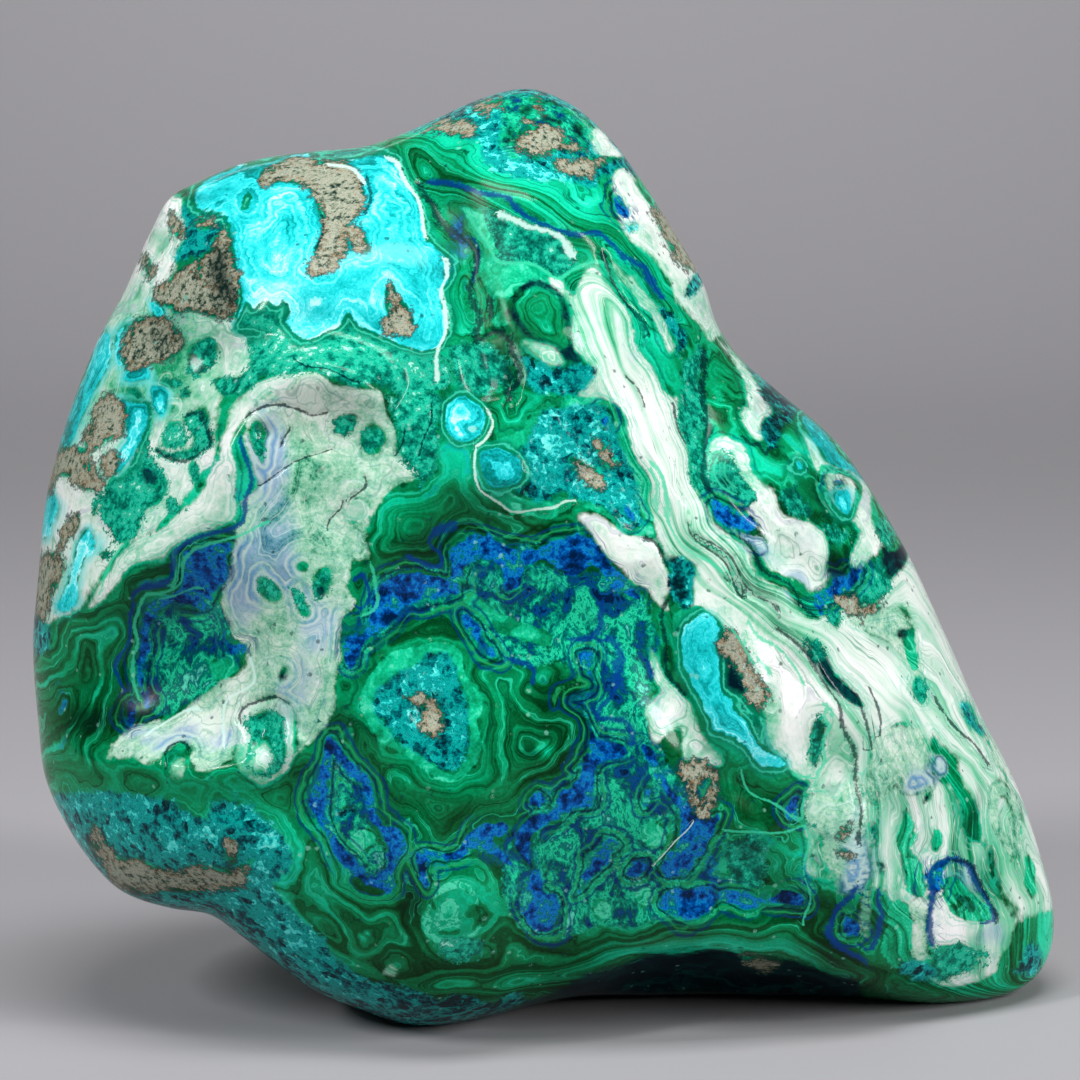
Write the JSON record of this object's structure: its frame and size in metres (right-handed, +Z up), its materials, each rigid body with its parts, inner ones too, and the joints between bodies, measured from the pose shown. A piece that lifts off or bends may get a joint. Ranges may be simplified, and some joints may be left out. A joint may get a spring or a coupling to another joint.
{
  "type": "azurite specimen",
  "caption": "Polished freeform stone of azurite, malachite and chrysocolla, standing on its own flat base with one rich face forward.",
  "frame": {"origin": "on the base plane, below the centre of the stone's bounding box", "axes": "+Z up from the flat base; +X along the base from the broad left shoulder to the pointed right tip; the good face looks along -Y"},
  "size_m": [0.1042, 0.054, 0.092],
  "materials": {
    "polished_stone": "polished"
  },
  "bodies": {
    "root": {"polished_stone": "polished_stone"}
  },
  "joints": []
}
